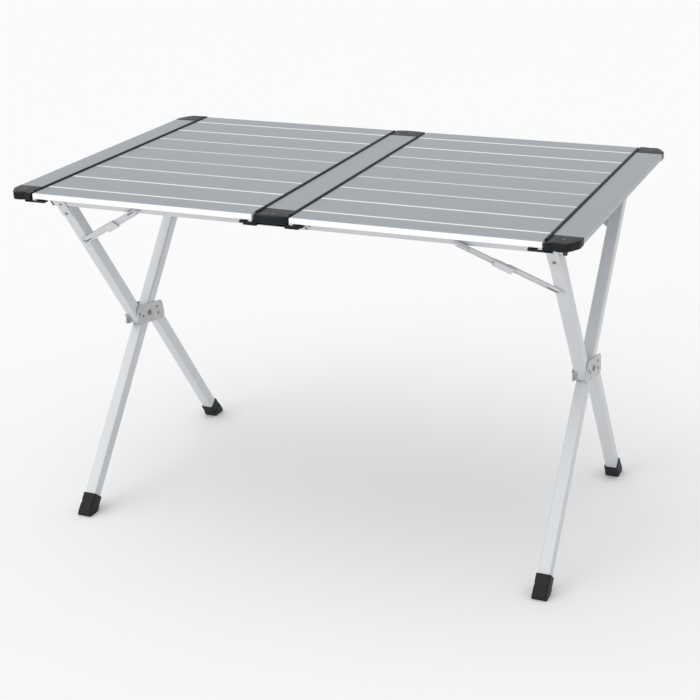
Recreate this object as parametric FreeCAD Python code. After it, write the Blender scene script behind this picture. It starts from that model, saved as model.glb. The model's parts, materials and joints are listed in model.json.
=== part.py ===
"""Folding camping table: an aluminium slat top on a scissor frame of square tube.

Millimetres. +X runs along the table's length, +Y points to its rear, +Z is up. The origin is on the
floor under the middle of the top.

The frame is two leaning trestles that cross at two hubs. The rear trestle holds the rear rail and
the straight legs that run down to the front feet. The front trestle holds the front rail and the
cranked legs that run down to the rear feet. Each trestle is drawn flat in its own axes: X along the
rail, Y out of the trestle's outer face, and Z up the leg from the rail's axis. It is then leaned and
moved into place.
"""
import FreeCAD
import Part
import math
import os

from FreeCAD import Vector as V

os.makedirs("parts", exist_ok=True)

# ---- driving dimensions ----------------------------------------------------------------------
table_length = 1100.0
table_width = 700.0
table_height = 700.0

# top
board_t = 12.0            # thickness of boards and slats
board_wall = 1.3          # wall of the hollow board and slat extrusions
centre_board_w = 67.0     # between the two middle hinge lines
end_board_w = 55.0        # from an end hinge line to the table's end
line_gap = 6.0            # between two boards at a hinge line
edge_setback = 3.0        # slat edges stand this far behind the caps
slat_count = 9
edge_slat_w = 54.0
slat_chamfer = 1.0
slat_joint = 0.3          # open joint between two slats
channel_w = 7.0           # end channel that holds the slat ends
channel_wall = 1.0

# end caps of the boards
cap_depth = 50.0
cap_rise = 1.0            # cap above the board
cap_drop = 2.0            # cap below the board
cap_corner_x = 22.0       # the outer corner is cut back this much along X
cap_corner_y = 30.0       # and this much along Y
spigot_length = 18.0
spigot_fit = 0.2
tongue_length = 28.0      # tongue under the slat panel
tongue_depth = 14.0
tongue_t = 4.0
cap_screw_r = 3.2
cap_screw_recess = 0.8

# hinge lines
knuckle_r = 2.6
knuckle_pitch = 35.0
knuckle_gap = 0.4
hinge_rise = 0.4          # hinge axis above the board's face
hinge_pin_r = 1.2
pin_fit = 0.05
leaf_t = 1.2
leaf_drop = 9.0

# frame
tube = 24.0               # square tube of legs and rails
tube_wall = 1.5
leg_x = 487.0             # leg centre from the middle
rail_y = 258.0            # rail centre from the middle
hub_height = 350.0
rail_stub = 18.0          # rail beyond the leg's centre
rail_top_gap = 1.6        # between the rails' highest edge and the boards
rail_half_gap = 1.0       # rail end to the middle
fold_drop = 32.0          # rail axis to the pivot that the rail folds on
leg_top_gap = 0.5
plate_t = 2.0
plate_gap = 0.2           # plates clear the tubes by this much
bracket_w = 22.0
bracket_rise = 5.0
pivot_pin_r = 4.0
rivet_head_r = 4.2
rivet_head_h = 1.2
small_rivet_r = 3.0
bracket_rivet_drop = 4.0  # rail axis to the rivet in each cheek

# hub
crank_gap = 0.5           # between the two legs when they lie side by side
hub_plate_long = 112.0
hub_plate_wide = 42.0
hub_plate_shift = 6.0     # plate centre behind the pivot, along the plate
hub_plate_corner = 9.0
hub_plate_t = 2.5
hub_plate_tilt = 10.0     # long side, front end up
hub_lip_w = 8.0
hub_lip_length = 28.0
hub_pin_r = 4.0
hub_pin_head_r = 6.4
hub_pin_head_h = 2.4
hub_rivet_spread = 15.0

# braces
brace_leg_drop = 118.0    # rail axis to the brace's pivot on the leg
brace_rail_x = 318.0      # the brace's pivot on the rail, from the middle
bar_w = 14.0
bar_t = 3.0
bar_gap = 0.25            # between layers
bar_groove_w = 4.0
bar_groove_deep = 0.9
bar_groove_start = 14.5   # from a bar's pivot
brace_pin_r = 2.5
brace_collar_r = 4.5
brace_pin_reach = 1.0     # pin end inside the tube's wall
sleeve_length = 38.0
sleeve_wall = 1.5
sleeve_offset = 10.0      # sleeve centre beyond the brace's middle joint
knob_r = 2.2

# rail ends and saddle
plug_t = 4.0
plug_drop = 9.0
plug_top_gap = 1.0        # face below the turning circle
saddle_x = 440.0
saddle_length = 24.0
saddle_w = 30.0
saddle_clear = 0.4

# feet
boot_wall = 2.6
boot_length = 42.0        # along the leg from the floor
boot_neck = 20.0          # lower edge of the collar above the floor, along the leg
boot_groove = 5.0
boot_groove_deep = 1.0
sole_extra = 2.4
tube_end_clear = 9.0      # tube ends this far above the floor, along the leg

# centre hinge of the rails
lug_top_gap = 0.5         # the hinge eye clears the boards when the legs stand upright
lug_length = 34.0
lug_pin_r = 3.0

# ---- values worked out -------------------------------------------------------------------------
half_tube = tube / 2
end_line = table_length / 2 - end_board_w
centre_line = centre_board_w / 2
board_under = table_height - board_t
hinge_z = table_height + hinge_rise
corner_radius = half_tube * math.sqrt(2)
rail_z = board_under - rail_top_gap - corner_radius
rail_drop = rail_z - hub_height
lean_a = math.atan2(rail_y, rail_drop)                 # straight legs, from the vertical
hub_reach = math.hypot(rail_y, rail_drop)              # rail axis to hub, both trestles
crank = tube + crank_gap                               # each half of a cranked leg is this far off the hub
hub_along_b = math.sqrt(hub_reach ** 2 - crank ** 2)
lean_b = lean_a - math.atan2(crank, hub_along_b)       # cranked legs, from the vertical
scissor_angle = lean_a + lean_b
fold_reach = fold_drop - half_tube                     # pivot to the rail's underside
leg_top = -fold_drop + fold_reach - leg_top_gap
floor_a = rail_z / math.cos(lean_a)
floor_b = (rail_z + 2 * crank * math.sin(lean_b)) / math.cos(lean_b)
brace_run = leg_x - brace_rail_x
brace_length = math.hypot(brace_run, brace_leg_drop)
lug_r = corner_radius + rail_top_gap - half_tube - lug_top_gap
brace_tilt = math.degrees(math.atan2(brace_leg_drop, brace_run))
plate_face = half_tube + plate_gap
lower_layer = half_tube + bar_gap
upper_layer = lower_layer + bar_t + bar_gap
sides = {"left": -1, "right": 1}


def clear_of_straight_leg(*offsets):
    """How far from the hub, along the cranked legs, points this far off its line clear the straight leg."""
    face = half_tube + crank_gap
    return max((face - a * math.cos(scissor_angle)) / math.sin(scissor_angle) for a in offsets)


crank_end = clear_of_straight_leg(crank - half_tube, crank + half_tube)
lip_end = clear_of_straight_leg(crank - half_tube, crank + half_tube + hub_plate_t)


# ---- helpers -----------------------------------------------------------------------------------
def box(x0, x1, y0, y1, z0, z1):
    """A block between two corners, given in any order."""
    xs, ys, zs = sorted((x0, x1)), sorted((y0, y1)), sorted((z0, z1))
    return Part.makeBox(xs[1] - xs[0], ys[1] - ys[0], zs[1] - zs[0], V(xs[0], ys[0], zs[0]))


def rod(start, direction, radius, length):
    return Part.makeCylinder(radius, length, V(*start), V(*direction))


def rivet_head(start, direction, radius, height):
    """A low domed head that stands on a face."""
    return Part.makeCone(radius, radius * 0.6, height, V(*start), V(*direction))


def prism(points, direction):
    """A straight prism on a flat outline of corner points."""
    ring = [V(*p) for p in points]
    face = Part.Face(Part.makePolygon(ring + ring[:1]))
    return face.extrude(V(*direction))


def stadium(start, end, radius, y0, y1):
    """A bar with round ends, flat in X-Z, from y0 to y1; start and end are the ends' centres."""
    ax, az = start
    bx, bz = end
    length = math.hypot(bx - ax, bz - az)
    bar = box(0, length, y0, y1, -radius, radius)
    for x in (0, length):
        bar = bar.fuse(rod((x, y0, 0), (0, 1, 0), radius, y1 - y0))
    bar = bar.removeSplitter()
    bar.rotate(V(0, 0, 0), V(0, -1, 0), math.degrees(math.atan2(bz - az, bx - ax)))
    bar.translate(V(ax, 0, az))
    return bar


def mirrored_x(shape, side):
    """The left-hand shape, or its mirror image on the right."""
    return shape if side == "left" else shape.mirror(V(0, 0, 0), V(1, 0, 0))


def lean(shape, trestle):
    """Moves a shape drawn in a trestle's own axes to its place on the table."""
    if trestle == "rear":
        placed = shape.copy()
        angle = -math.degrees(lean_a)
        y = rail_y
    else:
        placed = shape.mirror(V(0, 0, 0), V(0, 1, 0))
        angle = math.degrees(lean_b)
        y = -rail_y
    placed.rotate(V(0, 0, 0), V(1, 0, 0), angle)
    placed.translate(V(0, y, rail_z))
    return placed


def save(name, solids):
    """Writes one sub-part. A list of solids is kept as separate solids in one file."""
    shape = solids[0] if len(solids) == 1 else Part.makeCompound(solids)
    shape.exportStep("parts/" + name + ".step")
    volume = sum(s.Volume for s in shape.Solids)
    print(f"{name:28s} solids {len(shape.Solids):2d} valid {shape.isValid()} volume {volume:10.1f}")


# ---- top: boards, slats and channels -----------------------------------------------------------
def board_profile(x0, x1, y0, y1):
    """A hollow extrusion along Y."""
    outer = box(x0, x1, y0, y1, board_under, table_height)
    inner = box(x0 + board_wall, x1 - board_wall, y0, y1, board_under + board_wall, table_height - board_wall)
    return outer.cut(inner)


def make_boards():
    y = table_width / 2 - cap_depth
    inner = centre_line - line_gap / 2
    save("centre_board", [board_profile(-inner, inner, -y, y)])
    for side, sign in sides.items():
        xs = sorted((sign * (end_line + line_gap / 2), sign * table_length / 2))
        save(f"end_board_{side}", [board_profile(xs[0], xs[1], -y, y)])


def slat(x0, x1, y0, y1):
    """A hollow slat along X, with its two long top edges chamfered into half of a V groove."""
    c = slat_chamfer
    top = table_height
    outline = [(x0, y0, board_under), (x0, y1, board_under), (x0, y1, top - c), (x0, y1 - c, top),
               (x0, y0 + c, top), (x0, y0, top - c)]
    hollow = box(x0, x1, y0 + board_wall, y1 - board_wall, board_under + board_wall, top - board_wall)
    return prism(outline, (x1 - x0, 0, 0)).cut(hollow)


def slat_edges():
    """The Y ranges of the slats: a narrow one at each edge and equal ones between."""
    half = table_width / 2 - edge_setback
    pitch = (2 * half - 2 * edge_slat_w) / (slat_count - 2)
    lines = [-half] + [-half + edge_slat_w + pitch * i for i in range(slat_count - 1)] + [half]
    return [(a + slat_joint / 2, b - slat_joint / 2) for a, b in zip(lines, lines[1:])]


def make_panels():
    x_in = centre_line + line_gap / 2
    x_out = end_line - line_gap / 2
    half = table_width / 2 - edge_setback
    for side, sign in sides.items():
        xs = sorted((sign * (x_in + channel_wall), sign * (x_out - channel_wall)))
        save(f"slats_{side}", [slat(xs[0], xs[1], a, b) for a, b in slat_edges()])
        channels = []
        for x, inward in ((x_in, 1), (x_out, -1)):
            web = box(sign * x, sign * (x + inward * channel_wall), -half, half, board_under - channel_wall,
                      table_height - slat_chamfer)
            flange = box(sign * x, sign * (x + inward * channel_w), -half, half,
                         board_under - channel_wall, board_under)
            channels.append(web.fuse(flange).removeSplitter())
        save(f"slat_channels_{side}", channels)


# ---- top: caps ---------------------------------------------------------------------------------
def cap_screw(x, y, top):
    """A countersunk screw that sits in a small recess of a cap's face."""
    head = rod((x, y, top - 2 * cap_screw_recess), (0, 0, 1), cap_screw_r, cap_screw_recess)
    shank = rod((x, y, top - 4 * cap_screw_recess), (0, 0, 1), cap_screw_r / 2, 2 * cap_screw_recess)
    return head.fuse(shank).removeSplitter()


def finish_cap(cap, screw_x, screw_y, end):
    """Cuts the screw's seat, and turns a front cap to the rear if asked."""
    top = table_height + cap_rise
    seat = rod((screw_x, screw_y, top - 2 * cap_screw_recess), (0, 0, 1), cap_screw_r, 3 * cap_screw_recess)
    screw = cap_screw(screw_x, screw_y, top)
    pieces = [cap.cut(seat).cut(screw), screw]
    if end == "rear":
        pieces = [p.mirror(V(0, 0, 0), V(0, 1, 0)) for p in pieces]
    return pieces


def tongue(x0, x1):
    y = -table_width / 2
    under = board_under - channel_wall
    return box(x0, x1, y + edge_setback, y + edge_setback + tongue_depth, under - tongue_t, under)


def spigot(x0, x1):
    """The part of a cap that plugs into its hollow board."""
    y = -table_width / 2 + cap_depth
    inset = board_wall + spigot_fit
    return box(x0 + inset, x1 - inset, y, y + spigot_length, board_under + inset, table_height - inset)


def make_caps():
    top = table_height + cap_rise
    bottom = board_under - cap_drop
    y_front = -table_width / 2
    y_back = y_front + cap_depth
    under = board_under - channel_wall
    inner = centre_line - line_gap / 2
    for end in ("front", "rear"):
        body = box(-inner, inner, y_front, y_back, bottom, top)
        # the tongues hang from a foot under the cap that is as deep as they are
        foot = box(-inner, inner, y_front + edge_setback, y_front + edge_setback + tongue_depth,
                   under - tongue_t, bottom)
        reach = centre_line + tongue_length
        cap = body.fuse([foot, tongue(-reach, reach), spigot(-inner, inner)]).removeSplitter()
        save(f"centre_cap_{end}", finish_cap(cap, 0, y_front + cap_depth / 3, end))
    x_line = -(end_line + line_gap / 2)
    x_end = -table_length / 2
    outline = [(x_line, y_front), (x_end + cap_corner_x, y_front), (x_end, y_front + cap_corner_y),
               (x_end, y_back), (x_line, y_back)]
    for side in sides:
        for end in ("front", "rear"):
            body = prism([(x, y, bottom) for x, y in outline], (0, 0, top - bottom))
            foot = box(x_line - tongue_length / 2, x_line, y_front + edge_setback,
                       y_front + edge_setback + tongue_depth, under - tongue_t, bottom)
            arm = tongue(x_line, -end_line + tongue_length)
            cap = body.fuse([foot, arm, spigot(x_end, x_line)]).removeSplitter()
            pieces = finish_cap(cap, (x_line + x_end) / 2, y_front + cap_depth / 2, end)
            save(f"corner_cap_{end}_{side}", [mirrored_x(p, side) for p in pieces])


# ---- top: hinge lines --------------------------------------------------------------------------
def knuckle_row(x, toward, first):
    """Every second knuckle of a hinge line with its leaf, on the side of the line that toward gives."""
    half = table_width / 2 - edge_setback
    count = int(2 * half // knuckle_pitch)
    start = -count * knuckle_pitch / 2
    row = None
    face = line_gap / 2
    for i in range(first, count, 2):
        y0 = start + i * knuckle_pitch + knuckle_gap / 2
        length = knuckle_pitch - knuckle_gap
        barrel = rod((x, y0, hinge_z), (0, 1, 0), knuckle_r, length)
        arm = box(x, x + toward * face, y0, y0 + length, hinge_z - knuckle_r, table_height)
        piece = barrel.fuse(arm)
        row = piece if row is None else row.fuse(piece)
    leaf = box(x + toward * (face - leaf_t), x + toward * face, start, -start, table_height - leaf_drop,
               hinge_z - knuckle_r)
    row = row.fuse(leaf).removeSplitter()
    return row, start


def make_hinges():
    for side, sign in sides.items():
        for line, position, outer_toward in (("end", end_line, 1), ("centre", centre_line, -1)):
            x = sign * position
            board_row, start = knuckle_row(x, sign * outer_toward, 0)
            panel_row, start = knuckle_row(x, -sign * outer_toward, 1)
            length = -2 * start
            pin = rod((x, start, hinge_z), (0, 1, 0), hinge_pin_r, length)
            hole = rod((x, start, hinge_z), (0, 1, 0), hinge_pin_r + pin_fit, length)
            save(f"hinge_{line}_{side}_board", [board_row.cut(pin), pin])
            save(f"hinge_{line}_{side}_panel", [panel_row.cut(hole)])


# ---- frame: tubes ------------------------------------------------------------------------------
def tube_z(x, y, z0, z1):
    """Square tube along a leg."""
    h = half_tube
    w = h - tube_wall
    return box(x - h, x + h, y - h, y + h, z0, z1).cut(box(x - w, x + w, y - w, y + w, z0, z1))


def round_top(leg, y):
    """Rounds a leg's top about the fold pivot, so that the rail can turn over it."""
    reach = fold_reach - leg_top_gap
    h = half_tube
    block = box(-leg_x - h, -leg_x + h, y - h, y + h, -fold_drop, leg_top + 1)
    return leg.cut(block.cut(rod((-leg_x, y - h, -fold_drop), (0, 1, 0), reach, tube)))


def leg_holes(leg):
    """Holes of the fold pivot, right through, and of the brace, in the outer wall only."""
    pivot = rod((-leg_x, -tube, -fold_drop), (0, 1, 0), pivot_pin_r + pin_fit, 2 * tube)
    brace = rod((-leg_x, 0, -brace_leg_drop), (0, 1, 0), brace_pin_r + pin_fit, tube)
    return leg.cut(pivot).cut(brace)


def make_legs():
    for side in sides:
        straight = leg_holes(round_top(tube_z(-leg_x, 0, -floor_a + tube_end_clear, leg_top), 0))
        hub = rod((-leg_x - tube, 0, -hub_reach), (1, 0, 0), hub_pin_r + pin_fit, 2 * tube)
        save(f"leg_straight_{side}", [mirrored_x(lean(straight.cut(hub), "rear"), side)])
        upper = leg_holes(round_top(tube_z(-leg_x, 0, -hub_along_b + crank_end, leg_top), 0))
        save(f"leg_cranked_upper_{side}", [mirrored_x(lean(upper, "front"), side)])
        lower = tube_z(-leg_x, -2 * crank, -floor_b + tube_end_clear, -hub_along_b - crank_end)
        save(f"leg_cranked_lower_{side}", [mirrored_x(lean(lower, "front"), side)])


def rail_half():
    """The left half of a rail. The outer end's top corner is cut to clear the top as the rail folds."""
    h = half_tube
    w = h - tube_wall
    end = -leg_x - rail_stub
    outer = box(end, -rail_half_gap, -h, h, -h, h)
    inner = box(end, -rail_half_gap, -w, w, -w, w)
    rise = fold_drop + h
    low = math.sqrt(rise ** 2 - rail_stub ** 2) - fold_drop
    corner = prism([(end, -h, h), (-leg_x, -h, h), (end, -h, low)], (0, tube, 0))
    brace = rod((-brace_rail_x, 0, 0), (0, 1, 0), brace_pin_r + pin_fit, tube)
    return outer.cut(inner).cut(corner).cut(brace)


def make_rails():
    for trestle in ("rear", "front"):
        for side in sides:
            save(f"{trestle}_rail_{side}", [mirrored_x(lean(rail_half(), trestle), side)])


def make_plugs():
    """Black rail ends: a spigot in the tube, a face and a small hook below."""
    inset = tube_wall + spigot_fit
    w = half_tube - inset
    end = -leg_x - rail_stub
    rise = fold_drop + half_tube
    low = math.sqrt(rise ** 2 - (rail_stub + plug_t) ** 2) - fold_drop - plug_top_gap
    body = box(end, end + spigot_length / 2, -w, w, -w, low - inset)
    face = box(end - plug_t, end, -half_tube, half_tube, -half_tube, low - plug_top_gap)
    hook = box(end - plug_t, end, -w / 2, w / 2, -half_tube - plug_drop, -half_tube)
    plug = body.fuse([face, hook]).removeSplitter()
    for trestle in ("rear", "front"):
        for side in sides:
            save(f"rail_plug_{trestle}_{side}", [mirrored_x(lean(plug, trestle), side)])


# ---- frame: brackets, hubs and feet ------------------------------------------------------------
def rail_bracket(side):
    """Both cheeks that join a rail to its leg, the pivot, a rivet, and this rail's centre hinge lug."""
    solids = []
    low = -fold_drop
    for sign in (1, -1):
        y0 = sign * plate_face
        y1 = sign * (plate_face + plate_t)
        ys = sorted((y0, y1))
        cheek = stadium((-leg_x, bracket_rise - bracket_w / 2), (-leg_x, low), bracket_w / 2, ys[0], ys[1])
        hole = rod((-leg_x, ys[0], low), (0, 1, 0), pivot_pin_r, plate_t)
        solids.append(cheek.cut(hole))
        at = (-leg_x, y1, -bracket_rivet_drop)
        solids.append(rivet_head(at, (0, sign, 0), small_rivet_r, rivet_head_h))
    reach = plate_face + plate_t
    pin = rod((-leg_x, -reach, low), (0, 1, 0), pivot_pin_r, 2 * reach)
    for sign in (1, -1):
        pin = pin.fuse(rivet_head((-leg_x, sign * reach, low), (0, sign, 0), rivet_head_r, rivet_head_h))
    solids.append(pin.removeSplitter())
    return solids


def centre_lug(side):
    """The plate that ends in the rails' centre hinge eye, in its own layer on each side."""
    layer = plate_face if side == "left" else plate_face + plate_t + plate_gap
    eye_z = half_tube
    bar = stadium((-lug_length, 0), (-lug_r, 0), lug_r, layer, layer + plate_t)
    rise = stadium((-lug_r, 0), (0, eye_z), lug_r, layer, layer + plate_t)
    lug = bar.fuse(rise).removeSplitter()
    if side == "left":
        reach = 2 * plate_t + 2 * plate_gap
        pin = rod((0, layer, eye_z), (0, 1, 0), lug_pin_r, reach)
        head = rivet_head((0, layer + reach, eye_z), (0, 1, 0), rivet_head_r, rivet_head_h)
        solids = [lug.cut(pin), pin.fuse(head).removeSplitter()]
    else:
        hole = rod((0, layer, eye_z), (0, 1, 0), lug_pin_r + pin_fit, plate_t)
        solids = [lug.cut(hole)]
    for x in (-lug_length, -lug_length / 2):
        solids.append(rivet_head((x, layer + plate_t, 0), (0, 1, 0), small_rivet_r, rivet_head_h))
    return solids


def make_brackets():
    for trestle in ("rear", "front"):
        for side in sides:
            solids = rail_bracket(side) + centre_lug(side)
            save(f"rail_brackets_{trestle}_{side}", [mirrored_x(lean(s, trestle), side) for s in solids])


def rounded_plate(long, wide, corner, x0, thickness):
    """A plate flat in Y-Z with four round corners, centred on the X axis."""
    a = long / 2
    b = wide / 2
    plate = box(x0, x0 + thickness, -a + corner, a - corner, -b, b)
    plate = plate.fuse(box(x0, x0 + thickness, -a, a, -b + corner, b - corner))
    for y in (-a + corner, a - corner):
        for z in (-b + corner, b - corner):
            plate = plate.fuse(rod((x0, y, z), (1, 0, 0), corner, thickness))
    return plate.removeSplitter()


def hub_rivet_places():
    """The four rivets in the cranked leg's halves, drawn in the front trestle's axes as (y, z)."""
    places = []
    for y, sign in ((0, 1), (-2 * crank, -1)):
        for step in (0, 1):
            z = -hub_along_b + sign * (crank_end + small_rivet_r * 2 + step * hub_rivet_spread)
            places.append((y + (step - 0.5) * small_rivet_r * 2, z))
    return places


def make_hubs():
    inner = half_tube + plate_gap
    reach = inner + hub_plate_t
    for side, sign in sides.items():
        x = sign * leg_x
        plates = []
        for hand in (-1, 1):
            x0 = min(hand * inner, hand * reach)
            plate = rounded_plate(hub_plate_long, hub_plate_wide, hub_plate_corner, x + x0, hub_plate_t)
            plate.translate(V(0, hub_plate_shift, 0))
            plate.rotate(V(0, 0, 0), V(1, 0, 0), -hub_plate_tilt)
            plate.translate(V(0, 0, hub_height))
            if hand < 0:
                lip_low = -hub_along_b + lip_end
                lip_top = lip_low + hub_lip_length
                face = half_tube + hub_plate_t
                lip = box(x - reach, x - reach + hub_lip_w, half_tube, face, lip_low, lip_top)
                side_leg = box(x - reach, x - inner, 0, face, lip_low, lip_top)
                plate = plate.fuse([lean(lip, "front"), lean(side_leg, "front")]).removeSplitter()
            plates.append(plate)
        pin = rod((x - reach, 0, hub_height), (1, 0, 0), hub_pin_r, 2 * reach)
        for hand in (-1, 1):
            pin = pin.fuse(rivet_head((x + hand * reach, 0, hub_height), (hand, 0, 0), hub_pin_head_r,
                                      hub_pin_head_h))
        rivets = [pin.removeSplitter()]
        for y, z in hub_rivet_places():
            for hand in (-1, 1):
                head = rivet_head((x + hand * reach, y, z), (hand, 0, 0), small_rivet_r, rivet_head_h)
                rivets.append(lean(head, "front"))
        save(f"hub_plates_{side}", [p.cut(rivets[0]) for p in plates])
        save(f"hub_rivets_{side}", rivets)


def boot(y, floor):
    """A boot on a leg's end: collar, groove and wider sole, drawn along the leg and cut at the floor."""
    h = half_tube + boot_wall
    low = -floor - tube
    neck = -floor + boot_neck
    collar = box(-leg_x - h, -leg_x + h, y - h, y + h, neck + boot_groove, -floor + boot_length)
    g = h - boot_groove_deep
    stem = box(-leg_x - g, -leg_x + g, y - g, y + g, low, neck + boot_groove)
    s = h + sole_extra
    sole = box(-leg_x - h, -leg_x + h, y - s, y + s, low, neck)
    pocket = box(-leg_x - half_tube, -leg_x + half_tube, y - half_tube, y + half_tube,
                 -floor + tube_end_clear, -floor + boot_length)
    return collar.fuse([stem, sole]).removeSplitter().cut(pocket)


def make_feet():
    above_floor = box(-table_length, table_length, -table_width, table_width, 0, table_height)
    for side in sides:
        front = lean(boot(0, floor_a), "rear").common(above_floor)
        rear = lean(boot(-2 * crank, floor_b), "front").common(above_floor)
        save(f"foot_front_{side}", [mirrored_x(front, side)])
        save(f"foot_rear_{side}", [mirrored_x(rear, side)])


# ---- frame: braces -----------------------------------------------------------------------------
def brace_point(share):
    """A point on the brace's line, from its pivot on the leg (0) to its pivot on the rail (1)."""
    return (-leg_x + share * brace_run, -brace_leg_drop + share * brace_leg_drop)


def brace_bar(start, end, layer):
    """A flat bar with a pressed groove along its outer face."""
    bar = stadium(start, end, bar_w / 2, layer, layer + bar_t)
    sx, sz = start
    ex, ez = end
    share = bar_groove_start / (brace_length / 2)
    groove_start = (sx + (ex - sx) * share, sz + (ez - sz) * share)
    groove_end = ((sx + ex) / 2, (sz + ez) / 2)
    face = layer + bar_t
    return bar.cut(stadium(groove_start, groove_end, bar_groove_w / 2, face - bar_groove_deep, face))


def brace_pin(at, layer):
    """A rivet that passes through a bar and one tube wall."""
    x, z = at
    start = half_tube - tube_wall - brace_pin_reach
    top = layer + bar_t
    pin = rod((x, start, z), (0, 1, 0), brace_pin_r, top - start)
    under = half_tube + bar_gap / 2
    collar = rod((x, under, z), (0, 1, 0), brace_collar_r, layer - under)
    head = rivet_head((x, top, z), (0, 1, 0), rivet_head_r, rivet_head_h)
    return pin.fuse([collar, head]).removeSplitter()


def make_braces():
    middle = brace_point(0.5)
    for trestle in ("rear", "front"):
        for side in sides:
            leg_pin = brace_pin(brace_point(0), lower_layer)
            rail_pin = brace_pin(brace_point(1), upper_layer)
            lower = [brace_bar(brace_point(0), middle, lower_layer).cut(leg_pin), leg_pin]
            upper = [brace_bar(brace_point(1), middle, upper_layer).cut(rail_pin), rail_pin]
            save(f"brace_lower_{trestle}_{side}", [mirrored_x(lean(s, trestle), side) for s in lower])
            save(f"brace_upper_{trestle}_{side}", [mirrored_x(lean(s, trestle), side) for s in upper])
            sleeve = lock_sleeve()
            save(f"brace_sleeve_{trestle}_{side}", [mirrored_x(lean(sleeve, trestle), side)])


def lock_sleeve():
    """The sliding lock over the upper bar, with two small nibs to push it by."""
    half = bar_w / 2 + bar_gap
    top = upper_layer + bar_t + bar_gap
    a = brace_length / 2 + sleeve_offset - sleeve_length / 2
    b = a + sleeve_length
    sleeve = box(a, b, top, top + sleeve_wall, -half - sleeve_wall, half + sleeve_wall)
    for sign in (-1, 1):
        sleeve = sleeve.fuse(box(a, b, upper_layer, top, sign * half, sign * (half + sleeve_wall)))
    for x in (a + knob_r * 2, b - knob_r * 2):
        sleeve = sleeve.fuse(rod((x, top + sleeve_wall, 0), (0, 1, 0), knob_r, sleeve_wall))
    sleeve = sleeve.removeSplitter()
    sleeve.rotate(V(0, 0, 0), V(0, -1, 0), brace_tilt)
    sleeve.translate(V(-leg_x, 0, -brace_leg_drop))
    return sleeve


def make_saddle():
    """The block under the top that sits over the rear rail and lets it turn."""
    x0 = -saddle_x - saddle_length / 2
    x1 = -saddle_x + saddle_length / 2
    low = rail_z + corner_radius / 2
    block = box(x0, x1, rail_y - saddle_w / 2, rail_y + saddle_w / 2, low, board_under)
    round_cut = rod((x0, rail_y, rail_z), (1, 0, 0), corner_radius + saddle_clear, saddle_length)
    save("rail_saddle", [block.cut(round_cut)])


make_boards()
make_panels()
make_caps()
make_hinges()
make_legs()
make_rails()
make_plugs()
make_brackets()
make_hubs()
make_feet()
make_braces()
make_saddle()
print("lean_a", math.degrees(lean_a), "lean_b", math.degrees(lean_b), "rail_z", rail_z,
      "brace_length", brace_length, "crank_end", crank_end)
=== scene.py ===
"""Folding camping table: slatted aluminium top on a scissor frame of square tube.

Laid out as an add-on. Every piece is a closed surface worked out with numpy in metres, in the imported
model's own frame, and rides on one of its bodies.
"""
import json
import math

import bpy
import numpy as np
from bpy.props import FloatProperty, FloatVectorProperty, IntProperty, PointerProperty
from mathutils import Matrix, Vector


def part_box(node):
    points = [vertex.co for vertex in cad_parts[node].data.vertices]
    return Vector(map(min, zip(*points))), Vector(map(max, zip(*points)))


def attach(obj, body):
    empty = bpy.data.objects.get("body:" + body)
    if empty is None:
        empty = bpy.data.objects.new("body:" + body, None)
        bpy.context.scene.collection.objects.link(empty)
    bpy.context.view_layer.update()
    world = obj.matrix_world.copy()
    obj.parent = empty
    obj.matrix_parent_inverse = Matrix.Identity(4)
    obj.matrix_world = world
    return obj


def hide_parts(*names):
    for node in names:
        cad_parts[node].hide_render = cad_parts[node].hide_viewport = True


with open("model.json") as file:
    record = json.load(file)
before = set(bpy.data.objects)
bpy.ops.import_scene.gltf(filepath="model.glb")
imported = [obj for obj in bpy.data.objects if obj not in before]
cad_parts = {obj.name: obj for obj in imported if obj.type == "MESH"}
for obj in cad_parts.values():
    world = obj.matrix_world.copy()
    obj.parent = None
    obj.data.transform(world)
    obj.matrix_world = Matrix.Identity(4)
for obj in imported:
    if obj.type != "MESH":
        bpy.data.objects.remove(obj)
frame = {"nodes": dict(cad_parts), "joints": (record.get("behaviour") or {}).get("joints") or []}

bl_info = {
    "name": "Folding camping table",
    "version": (1, 0, 0),
    "blender": (4, 5, 0),
    "location": "View3D > Sidebar > Table",
    "description": "Builds the surfaces, finishes and studio of a folding aluminium table",
    "category": "Add Mesh",
}

SIDES = {"left": -1.0, "right": 1.0}
SLATS = 9
TRESTLES = ("rear", "front")
ENDS = {"front": -1.0, "rear": 1.0}
JOINTS = {j["name"]: j for j in frame["joints"]}
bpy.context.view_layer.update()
EX = np.array([1.0, 0.0, 0.0])
SHARP_FROM = math.radians(32.0)
LEG_BODY = {("rear", "left"): "left_leg_straight", ("rear", "right"): "right_leg_straight",
            ("front", "left"): "left_leg_cranked", ("front", "right"): "right_leg_cranked"}


# ---- the frame's own axes ----------------------------------------------------------------------
def node_points(node):
    """Every corner of a CAD node's mesh, one row each."""
    mesh = frame["nodes"][node].data
    co = np.zeros(len(mesh.vertices) * 3, np.float32)
    mesh.vertices.foreach_get("co", co)
    return co.reshape(-1, 3)


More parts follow.
